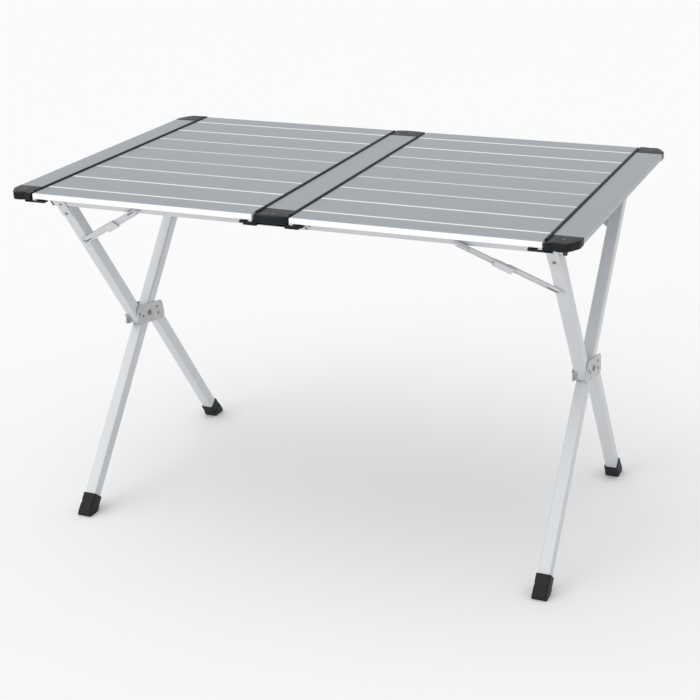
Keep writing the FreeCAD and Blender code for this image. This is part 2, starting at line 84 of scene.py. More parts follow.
class Trestle:
    """One leaning trestle's axes from its rail's axis: x along the rail, n out of the outer face, s up the
    legs."""

    def __init__(self, name):
        turn = "rail_fold" if name == "rear" else "front_rail_fold"
        axis = np.array(JOINTS[turn]["axis"], float)
        self.name = name
        self.up = np.cross(EX, axis)
        self.out = axis if name == "rear" else -axis
        on_rail = np.array(JOINTS[f"brace_upper_fold_{name}_left"]["pos_m"], float)
        self.origin = on_rail * np.array([0.0, 1.0, 1.0])
        self.fold = self.local(np.array([JOINTS[turn]["pos_m"]], float))[0]

    def world(self, points):
        """Points (x, n, s) of the trestle as points of the table."""
        p = np.asarray(points, float)
        return self.origin + p[..., 0:1] * EX + p[..., 1:2] * self.out + p[..., 2:3] * self.up

    def local(self, points):
        """Points of the table as (x, n, s) of the trestle."""
        p = np.asarray(points, float) - self.origin
        return np.stack([p @ EX, p @ self.out, p @ self.up], axis=-1)

    def box(self, node):
        """Lowest and highest x, n and s of a CAD node."""
        p = self.local(node_points(node))
        return p.min(axis=0), p.max(axis=0)


TRESTLE = {name: Trestle(name) for name in TRESTLES}
LEG_LOW, LEG_HIGH = TRESTLE["rear"].box("leg_straight_left")
TUBE = LEG_HIGH[0] - LEG_LOW[0]
LEG_X = abs(JOINTS["right_leg_fold"]["pos_m"][0])


# ---- settings ----------------------------------------------------------------------------------
def length(name, text, default):
    """A length that a user may set."""
    return FloatProperty(name=name, description=text, default=default, min=0.0, precision=5,
                         subtype="DISTANCE", unit="LENGTH")


def colour(name, text, default):
    """A colour that a user may set."""
    return FloatVectorProperty(name=name, description=text, default=default, size=3, min=0.0, max=1.0,
                               subtype="COLOR")


class TableSizes(bpy.types.PropertyGroup):
    """Sizes of the fine shape."""
    tube_corner: length("Tube corner", "Radius of the square tube's corners", 0.0028)
    board_corner: length("Board corner", "Radius of a board's long edges", 0.0009)
    slat_groove: length("Slat groove", "Width of the bright joint between two slats", 0.0064)
    groove_deep: length("Groove depth", "The joint lies this far below the slats", 0.0001)
    plate_edge: length("Plate edge", "Rounding of pressed plates", 0.0005)
    cap_edge: length("Cap edge", "Rounding of the moulded caps", 0.0026)
    rivet_height: length("Rivet height", "Height of a rivet's head", 0.0013)
    corner_steps: IntProperty(name="Corner steps", description="Points on each rounded corner", default=6,
                              min=2, max=16)


class TableColours(bpy.types.PropertyGroup):
    """Colours of the finishes."""
    board: colour("Boards", "Grey anodised boards and slats", (0.385, 0.412, 0.443))
    # on the slats' joints this near-white is a painted highlight for the glint of the grooves; on the edge
    # strips it is their own bright metal
    bright: colour("Bright edges", "Polished joints and edge strips", (0.94, 0.945, 0.95))
    tube: colour("Tubes", "Silver anodised legs and rails", (0.62, 0.635, 0.655))
    brace: colour("Braces", "Braces and brackets", (0.62, 0.63, 0.645))
    steel: colour("Hub steel", "Zinc plated hub plates", (0.46, 0.47, 0.48))
    rivet: colour("Rivets", "Rivet heads", (0.20, 0.205, 0.21))
    cap: colour("Caps", "Charcoal plastic", (0.010, 0.012, 0.014))
    black: colour("Black parts", "Hinge lines, plugs and screws", (0.012, 0.013, 0.015))
    rubber: colour("Feet", "Black rubber", (0.012, 0.0135, 0.016))
    floor: colour("Floor", "Pale studio floor", (0.95, 0.95, 0.95))


def sizes():
    """The sizes as they are set now."""
    return bpy.context.scene.table_sizes


def colours():
    """The colours as they are set now."""
    return bpy.context.scene.table_colours


# ---- outlines ----------------------------------------------------------------------------------
def rounded(corners, radii, steps):
    """A closed outline: each corner of a convex polygon is replaced by an arc that is tangent to both its
    sides. The arc's centre lies on the corner's bisector, its radius divided by the sine of half the angle
    away."""
    corners = np.asarray(corners, float)
    radii = np.broadcast_to(radii, len(corners))
    before = np.roll(corners, 1, axis=0) - corners
    after = np.roll(corners, -1, axis=0) - corners
    before /= np.linalg.norm(before, axis=1)[:, None]
    after /= np.linalg.norm(after, axis=1)[:, None]
    half = np.arccos(np.clip((before * after).sum(axis=1), -1, 1)) / 2
    middle = before + after
    middle /= np.linalg.norm(middle, axis=1)[:, None]
    centre = corners + middle * (radii / np.sin(half))[:, None]
    start = corners + before * (radii / np.tan(half))[:, None] - centre
    end = corners + after * (radii / np.tan(half))[:, None] - centre
    share = np.linspace(0, 1, steps)[None, :, None]
    blend = start[:, None, :] * (1 - share) + end[:, None, :] * share
    norm = np.linalg.norm(blend, axis=2, keepdims=True)
    arc = blend / np.maximum(norm, 1e-12) * radii[:, None, None]
    return (centre[:, None, :] + arc).reshape(-1, 2)


def rectangle(x0, x1, y0, y1, radius, steps):
    """A rectangle with rounded corners."""
    return rounded([(x0, y0), (x1, y0), (x1, y1), (x0, y1)], radius, steps)


def stadium(start, end, radius, steps):
    """Two half circles about the ends' centres, joined by straight sides."""
    a, b = np.asarray(start, float), np.asarray(end, float)
    turn = math.atan2(b[1] - a[1], b[0] - a[0])
    t = np.linspace(-math.pi / 2, math.pi / 2, steps)
    cap_b = b + radius * np.stack([np.cos(t + turn), np.sin(t + turn)], axis=1)
    cap_a = a - radius * np.stack([np.cos(t + turn), np.sin(t + turn)], axis=1)
    return np.concatenate([cap_b, cap_a])


def inset(outline, amount):
    """Every point moved inwards along its own normal, which is a quarter turn from the line between its
    neighbours."""
    along = np.roll(outline, -1, axis=0) - np.roll(outline, 1, axis=0)
    along /= np.maximum(np.linalg.norm(along, axis=1), 1e-12)[:, None]
    normal = np.stack([along[:, 1], -along[:, 0]], axis=1)
    x, y = outline[:, 0], outline[:, 1]
    area = (x * np.roll(y, -1) - np.roll(x, -1) * y).sum()
    return outline - normal * amount * (1 if area > 0 else -1)


# ---- closed shells -----------------------------------------------------------------------------
def skin(rings):
    """A closed shell through rings of points: quads between each ring and the next, and a flat face over
    each end. The second map coordinate runs along the shell and the first around it, in metres."""
    rings = np.asarray(rings, float)
    count, around = rings.shape[:2]
    i = np.arange(count - 1)[:, None] * around
    j = np.arange(around)[None, :]
    nxt = (j + 1) % around
    quads = np.stack([i + j, i + nxt, i + around + nxt, i + around + j], axis=-1).reshape(-1, 4)
    faces = quads.tolist()
    faces.append(list(range(around))[::-1])
    faces.append(list(range((count - 1) * around, count * around)))
    step = np.linalg.norm(np.roll(rings, -1, axis=1) - rings, axis=2).max(axis=0)
    u = np.concatenate([[0.0], np.cumsum(step)[:-1]])
    v = np.concatenate([[0.0], np.cumsum(np.linalg.norm(np.diff(rings, axis=0), axis=2).max(axis=1))])
    uv = np.stack(np.broadcast_arrays(u[None, :], v[:, None]), axis=-1).reshape(-1, 2)
    return rings.reshape(-1, 3), faces, uv


def plate_rings(outline, low, high, edge, steps=3):
    """Rings of a plate with rounded edges: the outline is drawn in by the edge's radius times one minus the
    sine of the angle, and rises by the radius times one minus the cosine."""
    t = np.linspace(0, math.pi / 2, steps)
    inward = edge * (1 - np.sin(t))
    rise = edge * (1 - np.cos(t))
    rings = [np.c_[inset(outline, a), np.full(len(outline), low + b)] for a, b in zip(inward, rise)]
    rings += [np.c_[inset(outline, a), np.full(len(outline), high - b)]
              for a, b in zip(inward[::-1], rise[::-1])]
    return np.array(rings)


def flat_plate(outline, low, high, edge):
    """A plate that lies in X-Y."""
    return skin(plate_rings(outline, low, high, edge))


def trestle_plate(trestle, outline, low, high, edge):
    """A plate that lies in a trestle's plane: its outline is (x, s) and its thickness runs along n."""
    rings = plate_rings(outline, low, high, edge)
    return skin(trestle.world(rings[..., [0, 2, 1]]))


def dome(centre, axis, radius, height, steps=7, around=20):
    """A rivet's head: a low cap turned about its axis, whose radius falls as the cosine and whose height
    rises as the sine, on a short straight rim."""
    axis = np.asarray(axis, float) / np.linalg.norm(axis)
    side = np.cross(axis, [0.31, 0.57, 0.76])
    side /= np.linalg.norm(side)
    other = np.cross(axis, side)
    sunk, rim, sweep = 0.25, 0.2, 0.94   # shares: of the height, of the height, of a quarter turn
    t = np.linspace(0, math.pi / 2 * sweep, steps)
    r = np.concatenate([[radius], radius * np.cos(t)])
    h = np.concatenate([[-height * sunk], height * (rim + (1 - rim) * np.sin(t))])
    a = np.linspace(0, 2 * math.pi, around, endpoint=False)
    ring = np.cos(a)[:, None] * side + np.sin(a)[:, None] * other
    return skin(np.asarray(centre) + r[:, None, None] * ring[None] + h[:, None, None] * axis)


def signed_volume(points, faces):
    """Six times the volume, summed over a fan of each face."""
    total = 0.0
    centre = points.mean(axis=0)
    p = points - centre
    quads = np.array([f for f in faces if len(f) == 4])
    if len(quads):
        a, b, c, d = (p[quads[:, k]] for k in range(4))
        total += np.einsum("ij,ij->", a, np.cross(b, c)) + np.einsum("ij,ij->", a, np.cross(c, d))
    for f in (f for f in faces if len(f) != 4):
        fan = p[f]
        total += np.einsum("ij,ij->", np.broadcast_to(fan[0], fan[1:-1].shape), np.cross(fan[1:-1], fan[2:]))
    return total


def piece(name, shells, material, body, replaced=()):
    """Joins closed shells into one mesh, rides it on a body and hides the CAD nodes it stands for."""
    points, faces, maps = [], [], []
    offset = 0
    for p, f, uv in shells:
        if signed_volume(p, f) < 0:
            f = [face[::-1] for face in f]
        points.append(p)
        maps.append(uv)
        faces += [[k + offset for k in face] for face in f]
        offset += len(p)
    points = np.concatenate(points)
    maps = np.concatenate(maps)
    mesh = bpy.data.meshes.new(name)
    mesh.from_pydata(points.tolist(), [], faces)
    mesh.polygons.foreach_set("use_smooth", np.ones(len(mesh.polygons), bool))
    mesh.set_sharp_from_angle(angle=SHARP_FROM)
    layer = mesh.uv_layers.new(name="metres")
    corner = np.zeros(len(mesh.loops), np.int32)
    mesh.loops.foreach_get("vertex_index", corner)
    layer.data.foreach_set("uv", maps[corner].astype(np.float32).ravel())
    mesh.materials.append(material)
    mesh.validate()
    obj = bpy.data.objects.new(name, mesh)
    bpy.context.scene.collection.objects.link(obj)
    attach(obj, body)
    if replaced:
        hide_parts(*replaced)
    return obj


# ---- finishes ----------------------------------------------------------------------------------
def group_socket(tree, name, direction, kind="NodeSocketFloat", default=None):
    """A named input or output of a node group."""
    socket = tree.interface.new_socket(name=name, in_out=direction, socket_type=kind)
    if default is not None:
        socket.default_value = default
    return socket


def grain_group():
    """Fine lines drawn along an extrusion: a noise whose coordinates are multiplied by a stretch."""
    name = "drawn_grain"
    if name in bpy.data.node_groups:
        return bpy.data.node_groups[name]
    tree = bpy.data.node_groups.new(name, "ShaderNodeTree")
    group_socket(tree, "Vector", "INPUT", "NodeSocketVector")
    group_socket(tree, "Stretch", "INPUT", "NodeSocketVector", (2.0, 900.0, 900.0))
    group_socket(tree, "Grain", "OUTPUT")
    nodes, links = tree.nodes, tree.links
    inp, out = nodes.new("NodeGroupInput"), nodes.new("NodeGroupOutput")
    scale = nodes.new("ShaderNodeVectorMath")
    scale.operation = "MULTIPLY"
    fine = nodes.new("ShaderNodeTexNoise")
    fine.inputs["Scale"].default_value = 1.0
    fine.inputs["Detail"].default_value = 3.0
    links.new(inp.outputs["Vector"], scale.inputs[0])
    links.new(inp.outputs["Stretch"], scale.inputs[1])
    links.new(scale.outputs[0], fine.inputs["Vector"])
    links.new(fine.outputs["Fac"], out.inputs["Grain"])
    return tree


def marks_group():
    """Soft clouding and a few small marks: a broad noise, and only the peaks of a fine one."""
    name = "handling_marks"
    if name in bpy.data.node_groups:
        return bpy.data.node_groups[name]
    tree = bpy.data.node_groups.new(name, "ShaderNodeTree")
    group_socket(tree, "Vector", "INPUT", "NodeSocketVector")
    group_socket(tree, "Scale", "INPUT", default=9.0)
    group_socket(tree, "Clouds", "OUTPUT")
    group_socket(tree, "Marks", "OUTPUT")
    nodes, links = tree.nodes, tree.links
    inp, out = nodes.new("NodeGroupInput"), nodes.new("NodeGroupOutput")
    clouds = nodes.new("ShaderNodeTexNoise")
    clouds.inputs["Detail"].default_value = 4.0
    marks = nodes.new("ShaderNodeTexNoise")
    marks.inputs["Scale"].default_value = 160.0
    marks.inputs["Detail"].default_value = 2.0
    sparse = nodes.new("ShaderNodeMapRange")
    sparse.inputs["From Min"].default_value = 0.66
    sparse.inputs["From Max"].default_value = 0.76
    links.new(inp.outputs["Vector"], clouds.inputs["Vector"])
    links.new(inp.outputs["Scale"], clouds.inputs["Scale"])
    links.new(inp.outputs["Vector"], marks.inputs["Vector"])
    links.new(marks.outputs["Fac"], sparse.inputs["Value"])
    links.new(clouds.outputs["Fac"], out.inputs["Clouds"])
    links.new(sparse.outputs["Result"], out.inputs["Marks"])
    return tree


def mix_colour(tree, fac, a, b):
    """A colour between two, by a 0 to 1 value; a and b are colours or sockets."""
    mix = tree.nodes.new("ShaderNodeMix")
    mix.data_type = "RGBA"
    tree.links.new(fac, mix.inputs["Factor"])
    for socket, value in ((mix.inputs["A"], a), (mix.inputs["B"], b)):
        if isinstance(value, bpy.types.NodeSocket):
            tree.links.new(value, socket)
        else:
            socket.default_value = (*value, 1.0)
    return mix.outputs["Result"]


def spread(tree, value, low, high):
    """A 0.3 to 0.7 noise value turned into a range of another size."""
    node = tree.nodes.new("ShaderNodeMapRange")
    node.inputs["From Min"].default_value = 0.3
    node.inputs["From Max"].default_value = 0.7
    node.inputs["To Min"].default_value = low
    node.inputs["To Max"].default_value = high
    tree.links.new(value, node.inputs["Value"])
    return node.outputs["Result"]


def scaled(tree, value, factor):
    """A value times a factor."""
    node = tree.nodes.new("ShaderNodeMath")
    node.operation = "MULTIPLY"
    node.inputs[1].default_value = factor
    tree.links.new(value, node.inputs[0])
    return node.outputs[0]


def finish(name, base, metallic, rough, tint=0.06, bump=0.0, use_map=True, stretch=(900.0, 2.0, 1.0),
           cloud_scale=9.0, specular=0.5, rough_spread=0.05, mark_tint=0.25):
    """A finish of drawn grain, clouding and small marks on its own colour."""
    grain_share, mark_lift, bump_deep = 0.5, (1.5, 0.02), 0.0002
    mat = bpy.data.materials.new(name)
    mat.use_nodes = True
    tree = mat.node_tree
    shader = tree.nodes["Principled BSDF"]
    shader.inputs["Metallic"].default_value = metallic
    shader.inputs["Specular IOR Level"].default_value = specular
    coords = tree.nodes.new("ShaderNodeTexCoord")
    source = coords.outputs["UV"] if use_map else coords.outputs["Object"]
    grain = tree.nodes.new("ShaderNodeGroup")
    grain.node_tree = grain_group()
    grain.inputs["Stretch"].default_value = stretch
    tree.links.new(source, grain.inputs["Vector"])
    marks = tree.nodes.new("ShaderNodeGroup")
    marks.node_tree = marks_group()
    marks.inputs["Scale"].default_value = cloud_scale
    tree.links.new(coords.outputs["Object"], marks.inputs["Vector"])
    dark = [c * (1 - tint) for c in base]
    light = [min(1.0, c * (1 + tint)) for c in base]
    clouded = mix_colour(tree, spread(tree, marks.outputs["Clouds"], 0, 1), dark, light)
    grained = mix_colour(tree, spread(tree, grain.outputs["Grain"], 0, grain_share), clouded, light)
    worn = mix_colour(tree, scaled(tree, marks.outputs["Marks"], mark_tint), grained,
                      [min(1.0, c * mark_lift[0] + mark_lift[1]) for c in base])
    tree.links.new(worn, shader.inputs["Base Color"])
    tree.links.new(spread(tree, marks.outputs["Clouds"], rough - rough_spread, rough + rough_spread),
                   shader.inputs["Roughness"])
    if bump:
        node = tree.nodes.new("ShaderNodeBump")
        node.inputs["Strength"].default_value = bump
        node.inputs["Distance"].default_value = bump_deep
        tree.links.new(grain.outputs["Grain"], node.inputs["Height"])
        tree.links.new(node.outputs["Normal"], shader.inputs["Normal"])
    return mat


def joint_finish_painted_highlight(name, bright, dull_reflection):
    """The slats' joints, near-white as a painted highlight, with a painted reflection: full bright near the
    long edges and duller between. The share of bright rises smoothly with the distance from the middle line."""
    reflection_dull_within, reflection_full_beyond = 0.07, 0.20
    mat = finish(name, bright, 0.1, 0.3, tint=0.02)
    tree = mat.node_tree
    shader = tree.nodes["Principled BSDF"]
    coords = tree.nodes.new("ShaderNodeTexCoord")
    parts = tree.nodes.new("ShaderNodeSeparateXYZ")
    tree.links.new(coords.outputs["Object"], parts.inputs[0])
    away = tree.nodes.new("ShaderNodeMath")
    away.operation = "ABSOLUTE"
    tree.links.new(parts.outputs["Y"], away.inputs[0])
    # painted reflection: the joints' colour runs from the dull colour at the middle line to full bright near
    # the long edges
    painted_reflection_ramp = tree.nodes.new("ShaderNodeMapRange")
    painted_reflection_ramp.interpolation_type = "SMOOTHSTEP"
    painted_reflection_ramp.inputs["From Min"].default_value = reflection_dull_within
    painted_reflection_ramp.inputs["From Max"].default_value = reflection_full_beyond
    tree.links.new(away.outputs[0], painted_reflection_ramp.inputs["Value"])
    base = shader.inputs["Base Color"].links[0].from_socket
    tree.links.new(mix_colour(tree, painted_reflection_ramp.outputs["Result"], dull_reflection, base), shader.inputs["Base Color"])
    return mat


FINISHES = {}


def make_finishes():
    """Every finish of the table, by the record's slot names."""
    c = colours()
    moulded = dict(use_map=False, stretch=(700.0, 700.0, 700.0), bump=0.25, specular=0.22)
    cap = dict(moulded, specular=0.14)
    FINISHES.update({
        "board_anodised": finish("board_anodised", c.board, 0.5, 0.42, tint=0.035, bump=0.12),
        "edge_aluminium": finish("edge_aluminium", c.bright, 0.1, 0.3, tint=0.02),
        # the dull colour, 1.75 times the boards', is the middle of the joints' painted reflection
        "slat_joints": joint_finish_painted_highlight("slat_joints", c.bright, [v * 1.75 for v in c.board]),
        "rivet_steel": finish("rivet_steel", c.rivet, 0.7, 0.3, tint=0.1),
        "tube_aluminium": finish("tube_aluminium", c.tube, 0.3, 0.38, tint=0.04, bump=0.12),
        "brace_aluminium": finish("brace_aluminium", c.brace, 0.4, 0.36, tint=0.05, bump=0.1),
        "hub_steel": finish("hub_steel", c.steel, 0.55, 0.38, tint=0.16, cloud_scale=45.0, bump=0.1),
        "hinge_black": finish("hinge_black", c.black, 0.0, 0.42, tint=0.15, **moulded),
        "black_plastic": finish("black_plastic", c.black, 0.0, 0.45, tint=0.15, **moulded),
        "cap_plastic": finish("cap_plastic", c.cap, 0.0, 0.33, tint=0.1, cloud_scale=30.0, **cap),
        "foot_rubber": finish("foot_rubber", c.rubber, 0.0, 0.5, tint=0.15, cloud_scale=40.0, **moulded),
    })


def repaint(node, slot_name):
    """Gives a CAD node that stays as it is its finish."""
    obj = frame["nodes"][node]
    if not obj.data.materials:
        obj.data.materials.append(FINISHES[slot_name])
    for slot in obj.material_slots:
        slot.material = FINISHES[slot_name]


# ---- operators ---------------------------------------------------------------------------------
class TableOperator(bpy.types.Operator):
    """What the table's operators share"""
    bl_options = {"REGISTER", "UNDO"}


def board_shell(x0, x1, y0, y1, z0, z1):
    """A board along Y: a rounded rectangle in X-Z carried from one end to the other."""
    s = sizes()
    outline = rectangle(x0, x1, z0, z1, s.board_corner, s.corner_steps)
    return skin(np.stack([np.c_[outline[:, 0], np.full(len(outline), y), outline[:, 1]] for y in (y0, y1)]))


class TABLE_OT_boards(TableOperator):
    """Centre board and end boards: hollow extrusions with rounded long edges"""
    bl_idname = "table.boards"
    bl_label = "Boards"

    def execute(self, context):
        lo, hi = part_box("centre_board")
        shell = board_shell(lo.x, hi.x, lo.y, hi.y, lo.z, hi.z)
        piece("centre_board_skin", [shell], FINISHES["board_anodised"], "top_centre", ["centre_board"])
        for side in SIDES:
            lo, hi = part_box(f"end_board_{side}")
            shell = board_shell(lo.x, hi.x, lo.y, hi.y, lo.z, hi.z)
            piece(f"end_board_skin_{side}", [shell], FINISHES["board_anodised"], f"end_board_{side}",
                  [f"end_board_{side}"])
        return {"FINISHED"}


def slat_lines(side):
    """The Y places where two slats meet. The CAD slats' corners also leave such a gap between the chamfer and
    the wall on each side of a joint, so a joint is the middle one of three."""
    narrowest, widest, cluster = 0.0002, 0.0004, 0.002
    y = np.unique(np.round(node_points(f"slats_{side}")[:, 1], 5))
    gap = np.diff(y)
    close = np.flatnonzero((gap > narrowest) & (gap < widest))
    places = (y[close] + y[close + 1]) / 2
    near = np.abs(places[:, None] - places[None, :]) < cluster
    lines = places[near.sum(axis=1) == 3]
    if len(lines) != SLATS - 1:
        raise RuntimeError(f"slats_{side}: {len(lines)} joints found between {SLATS} slats")
    return lines


def along_x(outline, x0, x1):
    """A Y-Z outline carried along X."""
    return skin(np.stack([np.c_[np.full(len(outline), x), outline] for x in (x0, x1)]))


class TABLE_OT_slats(TableOperator):
    """Slat panels: nine slats a side with rounded edges, with bright joints between, a painted highlight, and
    edge strips
    """
    bl_idname = "table.slats"
    bl_label = "Slats"

    def execute(self, context):
        s = sizes()
        for side in SIDES:
            lo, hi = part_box(f"slats_{side}")
            inner = slat_lines(side)
            rim = s.slat_groove / 2
            lap = rim * 1.3   # the joint's strip runs on a little way under both slats
            starts = np.concatenate([[lo.y + rim], inner + rim])
            ends = np.concatenate([inner - rim, [hi.y - rim]])
            shells = [along_x(rectangle(a, b, lo.z, hi.z, s.board_corner / 2, s.corner_steps), lo.x, hi.x)
                      for a, b in zip(starts, ends)]
            piece(f"slat_boards_{side}", shells, FINISHES["board_anodised"], f"slat_panel_{side}",
                  [f"slats_{side}"])
            top = hi.z - s.groove_deep
            # joint strips: near-white strips in the joints, a painted highlight for the glint of the grooves
            # between the slats
            joints = [along_x(rectangle(y - lap, y + lap, lo.z + rim, top, rim / 2, 3), lo.x, hi.x)
                      for y in inner]
            piece(f"slat_joints_{side}", joints, FINISHES["slat_joints"], f"slat_panel_{side}")
            lips = []
            for edge, inward in ((lo.y, 1), (hi.y, -1)):
                ys = sorted((edge, edge + inward * s.slat_groove))
                lips.append(along_x(rectangle(ys[0], ys[1], lo.z + rim / 4, hi.z - rim / 4, rim * 0.8, 5),
                                    lo.x, hi.x))
            piece(f"slat_lips_{side}", lips, FINISHES["edge_aluminium"], f"slat_panel_{side}", [])
            repaint(f"slat_channels_{side}", "edge_aluminium")
        return {"FINISHED"}


class TABLE_OT_hinges(TableOperator):
    """Hinge lines, rail plugs and the saddle keep their CAD shape and get a moulded black finish"""
    bl_idname = "table.hinges"
    bl_label = "Hinge lines"

    def execute(self, context):
        for node in frame["nodes"]:
            if node.startswith("hinge_"):
                repaint(node, "hinge_black")
            elif node.startswith(("rail_plug", "rail_saddle")):
                repaint(node, "black_plastic")
        return {"FINISHED"}


# the caps' places, in from the cap's front edge, and the parts that both kinds of cap have
CAP_NECK, NECK_LEAN = 0.0165, 0.03
HINGE_SHARE = 0.15
TONGUE_FROM, TONGUE_TO, TONGUE_THICK = 0.0016, 0.017, 0.004
WEB_CORNER, WEB_EDGE = 0.001, 0.0004
SCREW_RADIUS, SCREW_SUNK = 0.0032, 0.0001


def cap_rings(outline, low, high, edge, crown):
    """A moulded cap: rounded edges and a top that is crowned towards its middle, by one minus the square of
    the share of the way out."""
    rings = plate_rings(outline, low, high, edge, steps=5)
    centre = outline.mean(axis=0)
    top = rings[-1]
    extra = []
    for share in (0.75, 0.45, 0.15):
        ring = top.copy()
        ring[:, :2] = centre + (top[:, :2] - centre) * share
        ring[:, 2] += crown * (1 - share ** 2)
        extra.append(ring)
    return np.concatenate([rings, extra])


def tongue_shells(x0, x1, y0, y1, low, high, blocks=((0.06, 0.28), (0.72, 0.94))):
    """The flat tongue under the slats: a thin bar, and thicker blocks between shares of its length."""
    s = sizes()
    edge = s.cap_edge / 3
    shells = [flat_plate(rectangle(x0, x1, y0, y1, edge * 3, s.corner_steps), low, high, edge)]
    for start, end in blocks:
        block = rectangle(x0 + (x1 - x0) * start, x0 + (x1 - x0) * end, y0 + edge, y1 - edge, edge * 2,
                          s.corner_steps)
        shells.append(flat_plate(block, low - edge * 4, high - edge, edge))
    return shells


def screw_shells(x, y, top):
    """A low screw head that shows in its seat."""
    return [dome((x, y, top - SCREW_SUNK), (0, 0, 1), SCREW_RADIUS * 0.8, SCREW_RADIUS * 0.2, 6, 24)]


class TABLE_OT_caps(TableOperator):
    """End caps of the boards, with bulged fronts, crowned tops, screws and tongues"""
    bl_idname = "table.caps"
    bl_label = "Caps"

    def execute(self, context):
        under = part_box("centre_board")[0].z
        for end, sign in ENDS.items():
            self.centre_cap(end, sign, under)
            for side in SIDES:
                self.corner_cap(end, sign, side, under)
        return {"FINISHED"}

    def centre_cap(self, end, sign, under):
        """The front edge falls back from its middle as a power of the distance, and the sides step in to the
        board's width at the neck."""
        s = sizes()
        lo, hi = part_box(f"centre_cap_{end}")
        board_lo, board_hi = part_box("centre_board")
        back, front = (board_lo.y, lo.y) if sign < 0 else (board_hi.y, hi.y)
        half = board_hi.x
        line = abs(JOINTS["panel_fold_right"]["pos_m"][0])
        reach = line - (line - half) * HINGE_SHARE
        bulge_deep, bulge_lead, drop, crown = 0.0060, 0.0004, 0.003, 0.0009
        screw_in = 0.0165
        t = np.linspace(-1, 1, 21)
        bulge = front - sign * (bulge_deep * np.abs(t) ** 2.4 - bulge_lead)
        neck = front - sign * CAP_NECK
        step = neck + (back - neck) * NECK_LEAN
        outline = np.concatenate([np.c_[t * reach, bulge],
                                  [[reach, neck], [half, step], [half, back], [-half, back], [-half, step],
                                   [-reach, neck]]])
        shells = [skin(cap_rings(outline, under - drop, hi.z - crown, s.cap_edge * 0.6, crown))]
        y0, y1 = sorted((front - sign * TONGUE_FROM, front - sign * TONGUE_TO))
        shells += tongue_shells(lo.x, hi.x, y0, y1, lo.z, lo.z + TONGUE_THICK)
        shells.append(flat_plate(rectangle(-half, half, y0, y1, WEB_CORNER, 4), lo.z, under, WEB_EDGE))
        screw = screw_shells(0, front - sign * screw_in, hi.z)
        piece(f"centre_cap_screw_{end}", screw, FINISHES["rivet_steel"], "top_centre")
        piece(f"centre_cap_shell_{end}", shells, FINISHES["cap_plastic"], "top_centre",
              [f"centre_cap_{end}"])

    def corner_cap(self, end, sign, side, under):
        """From the hinge line outwards the front edge dips once as a squared sine, and is then cut back to
        the outer corner as a power of the distance. The inner side steps in to the board at the neck."""
        s = sizes()
        name = f"corner_cap_{end}_{side}"
        lo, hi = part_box(name)
        board_lo, board_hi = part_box(f"end_board_{side}")
        hand = SIDES[side]
        board, outer, reach = (board_lo.x, board_hi.x, lo.x) if hand > 0 else (board_hi.x, board_lo.x, hi.x)
        back, front = (board_lo.y, lo.y) if sign < 0 else (board_hi.y, hi.y)
        line = JOINTS[f"end_board_fold_{side}"]["pos_m"][0]
        inner = line + (board - line) * HINGE_SHARE
        width = abs(outer - inner)
        drop, crown = 0.002, 0.0008
        dip_deep, dip_start, dip_long = 0.0030, 0.12, 0.55
        lobe_share, cut_deep = 0.64, 0.029
        tongue_in, screw_in = 0.014, 0.025
        t = np.linspace(0, 1, 29)
        dip = dip_deep * np.sin(math.pi * np.clip((t - dip_start) / dip_long, 0, 1)) ** 2
        lobe = np.c_[inner + hand * width * lobe_share * t, front - sign * dip]
        a = np.linspace(0, 1, 12)[1:]
        cut = np.c_[inner + hand * width * (lobe_share + (1 - lobe_share) * a ** 0.92),
                    front - sign * cut_deep * a ** 1.35]
        neck = front - sign * CAP_NECK
        outline = np.concatenate([lobe, cut, [[outer, back], [board, back],
                                              [board, neck + (back - neck) * NECK_LEAN], [inner, neck]]])
        shells = [skin(cap_rings(outline, under - drop, hi.z - crown, s.cap_edge * 0.7, crown))]
        x0, x1 = sorted((inner + hand * tongue_in, reach))
        y0, y1 = sorted((front - sign * TONGUE_FROM, front - sign * TONGUE_TO))
        shells += tongue_shells(x0, x1, y0, y1, lo.z, lo.z + TONGUE_THICK, ())
        x0, x1 = sorted((inner + hand * tongue_in, inner))
        shells.append(flat_plate(rectangle(x0, x1, y0, y1, WEB_CORNER, 4), lo.z, under, WEB_EDGE))
        fin_x, fin_y = inner + hand * width * 0.78, front - sign * 0.026
        fin_half_x, fin_half_y, fin_corner, fin_edge = 0.0015, 0.004, 0.0008, 0.0003
        fin = rectangle(fin_x - fin_half_x, fin_x + fin_half_x, fin_y - fin_half_y, fin_y + fin_half_y,
                        fin_corner, 4)
        shells.append(flat_plate(fin, lo.z, under, fin_edge))
        screw = screw_shells((inner + outer) / 2, front - sign * screw_in, hi.z)
        piece(f"corner_cap_screw_{end}_{side}", screw, FINISHES["rivet_steel"], f"end_board_{side}")
        piece(f"corner_cap_shell_{end}_{side}", shells, FINISHES["cap_plastic"], f"end_board_{side}",
              [name])


def tube_shell(trestle, node, end_arc=None):
    """A square tube with rounded corners carried up a leg between the CAD tube's two ends, with a small
    chamfer at each. Where end_arc is (centre x, centre s, radius), the top follows that circle: its s is the
    centre's plus the root of the radius squared less the square of the distance along x."""
    s = sizes()
    lo, hi = trestle.box(node)
    chamfer = 0.0006
    outline = rectangle(lo[0], hi[0], lo[1], hi[1], s.tube_corner, s.corner_steps)
    rings = []
    for place, draw in ((lo[2], chamfer), (lo[2] + chamfer, 0), (hi[2] - chamfer, 0), (hi[2], chamfer)):
        ring = inset(outline, draw) if draw else outline
        level = np.full(len(ring), place)
        if end_arc and place > hi[2] - 2 * chamfer:
            cx, cs, radius = end_arc
            level = cs + np.sqrt(np.maximum(radius ** 2 - (ring[:, 0] - cx) ** 2, 0)) - (hi[2] - place)
        rings.append(np.c_[ring, level])
    if end_arc:
        top, middle = rings[-1], (lo[1] + hi[1]) / 2
        rings += [np.c_[top[:, 0], middle + (top[:, 1] - middle) * share, top[:, 2]] for share in (0.6, 0.2)]
    return skin(trestle.world(np.array(rings)))


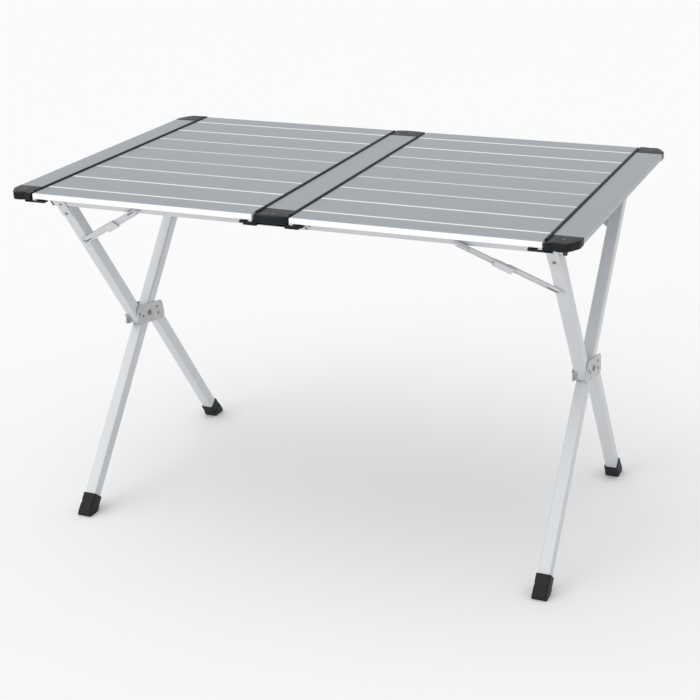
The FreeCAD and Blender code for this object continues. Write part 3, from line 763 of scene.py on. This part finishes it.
class TABLE_OT_legs(TableOperator):
    """Legs and rails: square tube with rounded corners, round at the top where the rail folds over"""
    bl_idname = "table.legs"
    bl_label = "Legs and rails"

    def execute(self, context):
        tube = FINISHES["tube_aluminium"]
        for side, hand in SIDES.items():
            for trestle, nodes in (("rear", ["leg_straight"]), ("front", ["leg_cranked_upper",
                                                                         "leg_cranked_lower"])):
                t = TRESTLE[trestle]
                for node in nodes:
                    full = f"{node}_{side}"
                    arc = None
                    if node != "leg_cranked_lower":
                        arc = (hand * LEG_X, t.fold[2], t.box(full)[1][2] - t.fold[2])
                    piece(f"{full}_tube", [tube_shell(t, full, arc)], tube, LEG_BODY[(trestle, side)],
                          [full])
            for trestle in TRESTLES:
                full = f"{trestle}_rail_{side}"
                piece(f"{full}_tube", [rail_shell(TRESTLE[trestle], full, hand)], tube, full, [full])
        return {"FINISHED"}


def rail_shell(trestle, node, hand):
    """A rail half: square tube whose top is cut back beyond the leg, to clear the boards as it folds. There
    its height is the root of the rise squared less the square of the distance from the leg."""
    s = sizes()
    lo, hi = trestle.box(node)
    outline = rectangle(lo[1], hi[1], lo[2], hi[2], s.tube_corner, s.corner_steps)
    outer, inner = (hi[0], lo[0]) if hand > 0 else (lo[0], hi[0])
    leg = hand * LEG_X
    rise = hi[2] - trestle.fold[2]
    places = np.concatenate([[inner], np.linspace(leg, outer, 5)])
    rings = []
    for x in places:
        limit = hi[2]
        if abs(x) > LEG_X:
            limit = trestle.fold[2] + math.sqrt(rise ** 2 - min(abs(x - leg), rise) ** 2)
        ring = outline.copy()
        ring[:, 1] = lo[2] + (ring[:, 1] - lo[2]) * (limit - lo[2]) / (hi[2] - lo[2])
        rings.append(np.c_[np.full(len(ring), x), ring])
    return skin(trestle.world(np.array(rings)))


class TABLE_OT_brackets(TableOperator):
    """Rail brackets: pressed cheeks beside the leg, the fold pivot, rivets and the rails' middle lugs"""
    bl_idname = "table.brackets"
    bl_label = "Brackets"

    def execute(self, context):
        for trestle in TRESTLES:
            for side, hand in SIDES.items():
                node = f"rail_brackets_{trestle}_{side}"
                plates, rivets = self.shells(TRESTLE[trestle], side, hand)
                body = f"{trestle}_rail_{side}"
                piece(f"bracket_plates_{trestle}_{side}", plates, FINISHES["brace_aluminium"], body, [node])
                piece(f"bracket_rivets_{trestle}_{side}", rivets, FINISHES["rivet_steel"], body)
        return {"FINISHED"}

    def shells(self, t, side, hand):
        """The plates and the rivet heads of one rail half."""
        s = sizes()
        gap, thick, wide = 0.0002, 0.002, 0.011
        lug_from, lug_to, lug_radius = 0.034, 0.006, 0.006
        x = hand * LEG_X
        low = t.fold[2]
        half = TUBE / 2
        plates, rivets = [], []
        rim = 0.005
        outline = rounded([(x - wide, low - wide), (x + wide, low - wide), (x + wide, rim), (x - wide, rim)],
                          [0.006, 0.006, 0.0015, 0.0015], s.corner_steps)
        for n in (1, -1):
            ns = sorted((n * (half + gap), n * (half + gap + thick)))
            plates.append(trestle_plate(t, outline, ns[0], ns[1], s.plate_edge))
            face = n * (half + gap + thick)
            for place, radius in ((low, 0.0036), (-0.004, 0.003)):
                rivets.append(dome(t.world([x, face, place]), n * t.out, radius, s.rivet_height))
        layer = half + gap if side == "left" else half + thick + 2 * gap
        eye = JOINTS[f"{t.name}_rail_middle"]["pos_m"]
        eye = (0.0, t.local([eye])[0][2])
        for a, b in (((hand * lug_from, 0), (hand * lug_to, 0)), ((hand * lug_to, 0), eye)):
            plates.append(trestle_plate(t, stadium(a, b, lug_radius, 12), layer, layer + thick, s.plate_edge))
        for place in (lug_from, lug_from / 2):
            rivets.append(dome(t.world([hand * place, layer + thick, 0]), t.out, 0.003, s.rivet_height))
        if side == "left":
            top = half + 2 * thick + 2 * gap
            rivets.append(dome(t.world([0, top, eye[1]]), t.out, 0.0042, s.rivet_height))
        return plates, rivets


class TABLE_OT_hubs(TableOperator):
    """Hub side plates with their folded lip, the big centre pivot and four rivets"""
    bl_idname = "table.hubs"
    bl_label = "Hubs"

    def execute(self, context):
        s = sizes()
        hub = np.array(JOINTS["scissor"]["pos_m"], float)
        tilt = math.radians(-10.0)
        turn = np.array([[math.cos(tilt), -math.sin(tilt)], [math.sin(tilt), math.cos(tilt)]])
        ahead, behind, wide = -0.050, 0.062, 0.042
        gap, thick = 0.0002, 0.0025
        lip_wide, lip_long = 0.008, 0.028
        corners = [(ahead, -wide / 2), (behind + 0.006, -wide / 2), (behind - 0.012, wide / 2),
                   (ahead, wide / 2)]
        flat = rounded(corners, [0.006, 0.010, 0.010, 0.008], 9) @ turn.T + hub[1:]
        t = TRESTLE["front"]
        for side, hand in SIDES.items():
            x = hand * LEG_X
            inner, outer = TUBE / 2 + gap, TUBE / 2 + gap + thick
            plates, rivets = [], []
            for face in (-1, 1):
                xs = sorted((x + face * inner, x + face * outer))
                rings = plate_rings(flat, xs[0], xs[1], s.plate_edge)
                plates.append(skin(rings[..., [2, 0, 1]]))
                rivets.append(dome((x + face * outer, hub[1], hub[2]), (face, 0, 0), 0.0064, 0.0024, 9, 28))
                for y, z in self.rivet_places(side):
                    rivets.append(dome((x + face * outer, y, z), (face, 0, 0), 0.003, s.rivet_height))
            bottom = t.box(f"leg_cranked_upper_{side}")[0][2]
            lip = rounded([(x - outer, bottom), (x - outer + lip_wide, bottom),
                           (x - outer + lip_wide, bottom + lip_long), (x - outer, bottom + lip_long)],
                          [0.0005, 0.004, 0.004, 0.0005], 5)
            plates.append(trestle_plate(t, lip, TUBE / 2 + 0.00005, TUBE / 2 + thick, s.plate_edge))
            web = rectangle(0, TUBE / 2 + thick, bottom, bottom + lip_long, 0.0008, 4)
            rings = plate_rings(web, x - outer, x - inner, s.plate_edge)
            plates.append(skin(t.world(rings[..., [2, 0, 1]])))
            body = f"{side}_leg_cranked"
            piece(f"hub_plate_pair_{side}", plates, FINISHES["hub_steel"], body, [f"hub_plates_{side}"])
            piece(f"hub_rivet_set_{side}", rivets, FINISHES["rivet_steel"], body, [f"hub_rivets_{side}"])
        return {"FINISHED"}

    def rivet_places(self, side):
        """Two rivets in each half of the cranked leg, on its centre line beside the end."""
        t = TRESTLE["front"]
        from_end, apart, drift = 0.006, 0.015, 0.006
        places = []
        for node, end, sign in (("upper", 0, 1), ("lower", 1, -1)):
            lo, hi = t.box(f"leg_cranked_{node}_{side}")
            n = (lo[1] + hi[1]) / 2
            tip = (lo, hi)[end][2]
            for step in (0, 1):
                p = t.world([0, n + (step - 0.5) * drift, tip + sign * (from_end + step * apart)])
                places.append((p[1], p[2]))
        return places


def channel_bar(t, start, end, layer, thick, width):
    """A brace bar: a flat bar with round ends, two raised long edges and a slot pressed between them."""
    s = sizes()
    a, b = np.asarray(start, float), np.asarray(end, float)
    along = (b - a) / np.linalg.norm(b - a)
    across = np.array([-along[1], along[0]])
    base = trestle_plate(t, stadium(a, b, width / 2, 12), layer, layer + thick * 0.62, s.plate_edge)
    shells = [base]
    for hand in (-1, 1):
        shift = across * hand * (width / 2 - 0.0014)
        rim = stadium(a + shift + along * 0.003, b + shift - along * 0.003, 0.0013, 6)
        shells.append(trestle_plate(t, rim, layer + thick * 0.3, layer + thick, s.plate_edge))
    rib = stadium(a + along * 0.024, b - along * 0.018, 0.0016, 8)
    shells.append(trestle_plate(t, rib, layer + thick * 0.3, layer + thick * 0.85, s.plate_edge))
    return shells


class TABLE_OT_braces(TableOperator):
    """Braces: two channel bars with round ends, their rivets and the sliding lock sleeve"""
    bl_idname = "table.braces"
    bl_label = "Braces"

    def execute(self, context):
        s = sizes()
        metal = FINISHES["brace_aluminium"]
        gap, thick, width = 0.00025, 0.003, 0.014
        half = TUBE / 2
        for trestle in TRESTLES:
            t = TRESTLE[trestle]
            for side, hand in SIDES.items():
                leg = t.local(JOINTS[f"brace_lower_fold_{trestle}_{side}"]["pos_m"])[[0, 2]]
                rail = t.local(JOINTS[f"brace_upper_fold_{trestle}_{side}"]["pos_m"])[[0, 2]]
                middle = (leg + rail) / 2
                low = half + gap
                high = low + thick + gap
                for part, at, layer in (("lower", leg, low), ("upper", rail, high)):
                    shells = channel_bar(t, at, middle, layer, thick, width)
                    shells.append(dome(t.world([at[0], layer + thick, at[1]]), t.out, 0.0042, s.rivet_height))
                    spacer = stadium(at, at + 1e-6, 0.0045, 10)
                    shells.append(trestle_plate(t, spacer, half, layer + 0.0002, 0.0001))
                    node = f"brace_{part}_{trestle}_{side}"
                    piece(f"{node}_bar", shells, metal, node, [node])
                    # painted shadow of a slot: a thin black strip laid on the bar's face where the slot's
                    # shade falls; no slot is cut
                    way = (middle - at) / np.linalg.norm(middle - at)
                    across = np.array([-way[1], way[0]]) * hand * (width / 2 - 0.0042)
                    slot = stadium(at + way * 0.006 + across, at + way * 0.026 + across, 0.0009, 5)
                    face = layer + thick * 0.62
                    piece(f"{node}_slot", [trestle_plate(t, slot, face - 0.0003, face + 0.0003, 0.0001)],
                          FINISHES["hinge_black"], node)
                self.sleeve(t, side, leg, rail, high, thick, width, gap)
        return {"FINISHED"}

    def sleeve(self, t, side, leg, rail, high, thick, width, gap):
        """A folded sheet over the upper bar: a U section carried along the bar, with nibs near its ends."""
        node = f"brace_sleeve_{t.name}_{side}"
        long, ahead, end_step, nib_in = 0.038, 0.010, 0.0006, 0.0045
        along = (rail - leg) / np.linalg.norm(rail - leg)
        across = np.array([-along[1], along[0]])
        half = width / 2 + gap
        wall = 0.0015
        top = high + thick + gap
        u = np.array([(-half - wall, high), (-half - wall, top + wall), (half + wall, top + wall),
                      (half + wall, high), (half, high), (half, top), (-half, top), (-half, high)])
        start = np.linalg.norm(rail - leg) / 2 + ahead - long / 2
        rings = []
        for place in (start, start + end_step, start + long - end_step, start + long):
            xs = leg + along * place
            rings.append(np.c_[xs[0] + across[0] * u[:, 0], u[:, 1], xs[1] + across[1] * u[:, 0]])
        shells = [skin(t.world(np.array(rings)))]
        for place in (start + nib_in, start + long - nib_in):
            p = leg + along * place
            for edge in (-1, 1):
                q = p + across * edge * (half - 0.0015)
                shells.append(dome(t.world([q[0], top + wall, q[1]]), t.out, 0.0013, 0.0009, 5, 12))
        piece(f"{node}_shell", shells, FINISHES["brace_aluminium"], node, [node])


class TABLE_OT_feet(TableOperator):
    """Boots: a moulded block on each leg's end that tapers a little and is cut level at the floor"""
    bl_idname = "table.feet"
    bl_label = "Feet"

    def execute(self, context):
        for side in SIDES:
            self.boot("front", "rear", f"leg_straight_{side}", side)
            self.boot("rear", "front", f"leg_cranked_lower_{side}", side)
        return {"FINISHED"}

    def boot(self, end, trestle, leg, side):
        """Rounded squares stacked along the leg; each is wall, groove or sole wide, and the lowest ring's
        points are slid along the leg to the floor."""
        s = sizes()
        t = TRESTLE[trestle]
        node = f"foot_{end}_{side}"
        lo, hi = t.box(node)
        llo, lhi = t.box(leg)
        centre = ((llo[0] + lhi[0]) / 2, (llo[1] + lhi[1]) / 2)
        collar = (hi[0] - lo[0]) / 2
        top = hi[2]
        # (distance below the collar's top edge, width beyond the collar, width beyond it on the n sides)
        if end == "front":
            rows = [(0.0, -0.0008, -0.0008), (0.0008, 0, 0), (0.016, 0, 0), (0.020, -0.0006, -0.0006),
                    (0.026, 0, 0.0006), (0.034, 0, 0.0012)]
        else:
            rows = [(0.0, -0.0008, -0.0008), (0.0008, 0, 0), (0.0170, 0, 0.0005), (0.0180, -0.0012, -0.0008),
                    (0.0225, -0.0012, -0.0008), (0.0240, 0, 0.0018), (0.034, 0, 0.0024)]
        rings = []
        for down, wide, deep in rows:
            half_x, half_n = collar + wide, collar + deep
            ring = rectangle(centre[0] - half_x, centre[0] + half_x, centre[1] - half_n, centre[1] + half_n,
                             0.0035, s.corner_steps)
            rings.append(np.c_[ring, np.full(len(ring), top - down)])
        world = t.world(np.array(rings))
        world = np.concatenate([world, self.sole(t, world[-1])])
        # rings above must not dip below the floor's edge ring
        floor_edge = world[len(rows)]
        for k in range(len(rows)):
            below = world[k][:, 2] < floor_edge[:, 2]
            world[k][below] = floor_edge[below]
        piece(f"{node}_boot", [skin(world)], FINISHES["foot_rubber"], LEG_BODY[(trestle, side)], [node])

    def sole(self, t, last):
        """The lowest ring's points slid along the leg to four heights. Below the first the toe stands upright
        instead of following the leg, and its floor edge is drawn back."""
        toe = -np.sign(t.up[1])
        rings = []
        for height, draw in ((0.0085, 0.0), (0.0045, 0.0004), (0.0012, 0.0012), (0.0, 0.0030)):
            ring = last - ((last[:, 2] - height) / t.up[2])[:, None] * t.up
            if not rings:
                edge = (ring[:, 1] * toe).max()
            ring[:, 1] = toe * np.minimum(ring[:, 1] * toe, edge - draw)
            rings.append(ring)
        return np.array(rings)


class TABLE_OT_stage(TableOperator):
    """Pale floor, soft light and the camera"""
    bl_idname = "table.stage"
    bl_label = "Stage"

    def execute(self, context):
        scene = context.scene
        mat = bpy.data.materials.new("floor_paper")
        mat.use_nodes = True
        shader = mat.node_tree.nodes["Principled BSDF"]
        shader.inputs["Base Color"].default_value = (*colours().floor, 1)
        shader.inputs["Roughness"].default_value = 0.9
        shader.inputs["Specular IOR Level"].default_value = 0.1
        far = 14.0
        mesh = bpy.data.meshes.new("floor")
        mesh.from_pydata([(-far, -far, 0), (far, -far, 0), (far, far, 0), (-far, far, 0)], [], [(0, 1, 2, 3)])
        mesh.materials.append(mat)
        floor = bpy.data.objects.new("floor", mesh)
        scene.collection.objects.link(floor)
        world = bpy.data.worlds.new("studio")
        world.use_nodes = True
        world.node_tree.nodes["Background"].inputs["Color"].default_value = (1.0, 1.0, 1.0, 1)
        world.node_tree.nodes["Background"].inputs["Strength"].default_value = 0.75
        scene.world = world
        scene.view_settings.view_transform = "Standard"
        self.sun("key", (-0.45, -0.35, 1.0), 1.5, 0.85)
        self.sun("front", (-0.45, -0.9, 0.12), 0.7, 0.75)
        self.camera(scene)
        return {"FINISHED"}

    def sun(self, name, toward, angle, strength):
        """A wide, soft sun that shines from a direction."""
        data = bpy.data.lights.new(name, "SUN")
        data.angle = angle
        data.energy = strength
        lamp = bpy.data.objects.new(name, data)
        bpy.context.scene.collection.objects.link(lamp)
        lamp.matrix_world = Vector(toward).to_track_quat("Z", "Y").to_matrix().to_4x4()

    def camera(self, scene):
        """Camera in front, to the right and a little above, looking back to the left and down."""
        azimuth, elevation, roll = math.radians(22.82), math.radians(21.82), math.radians(-1.28)
        place = np.array([1.1312, -2.5995, 1.4132])
        look = np.array([-math.sin(azimuth) * math.cos(elevation), math.cos(azimuth) * math.cos(elevation),
                         -math.sin(elevation)])
        side = np.array([math.cos(azimuth), math.sin(azimuth), 0])
        up = np.cross(side, look)
        side, up = (side * math.cos(roll) + up * math.sin(roll), up * math.cos(roll) - side * math.sin(roll))
        data = bpy.data.cameras.new("camera")
        data.sensor_width = 36.0
        data.lens = 76.56
        data.shift_x = -0.0286
        data.shift_y = 0.0286
        cam = bpy.data.objects.new("camera", data)
        scene.collection.objects.link(cam)
        m = Matrix.Identity(4)
        for k in range(3):
            m[k][0], m[k][1], m[k][2], m[k][3] = side[k], up[k], -look[k], place[k]
        cam.matrix_world = m
        scene.camera = cam


class TABLE_PT_panel(bpy.types.Panel):
    """Lists the table's operators"""
    bl_label = "Folding table"
    bl_idname = "TABLE_PT_panel"
    bl_space_type = "VIEW_3D"
    bl_region_type = "UI"
    bl_category = "Table"

    def draw(self, context):
        for operator in OPERATORS:
            self.layout.operator(operator.bl_idname)


OPERATORS = (TABLE_OT_stage, TABLE_OT_boards, TABLE_OT_slats, TABLE_OT_hinges, TABLE_OT_caps, TABLE_OT_legs,
             TABLE_OT_brackets, TABLE_OT_hubs, TABLE_OT_braces, TABLE_OT_feet)
CLASSES = (TableSizes, TableColours, *OPERATORS, TABLE_PT_panel)


def register():
    """Registers the classes and hangs the settings on the scene."""
    for cls in CLASSES:
        bpy.utils.register_class(cls)
    bpy.types.Scene.table_sizes = PointerProperty(type=TableSizes)
    bpy.types.Scene.table_colours = PointerProperty(type=TableColours)


def unregister():
    """Undoes register, in the other order."""
    del bpy.types.Scene.table_colours
    del bpy.types.Scene.table_sizes
    for cls in reversed(CLASSES):
        bpy.utils.unregister_class(cls)


def main():
    """Registers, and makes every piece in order."""
    register()
    make_finishes()
    for operator in OPERATORS:
        group, name = operator.bl_idname.split(".")
        getattr(getattr(bpy.ops, group), name)()


if __name__ == "__main__":
    main()
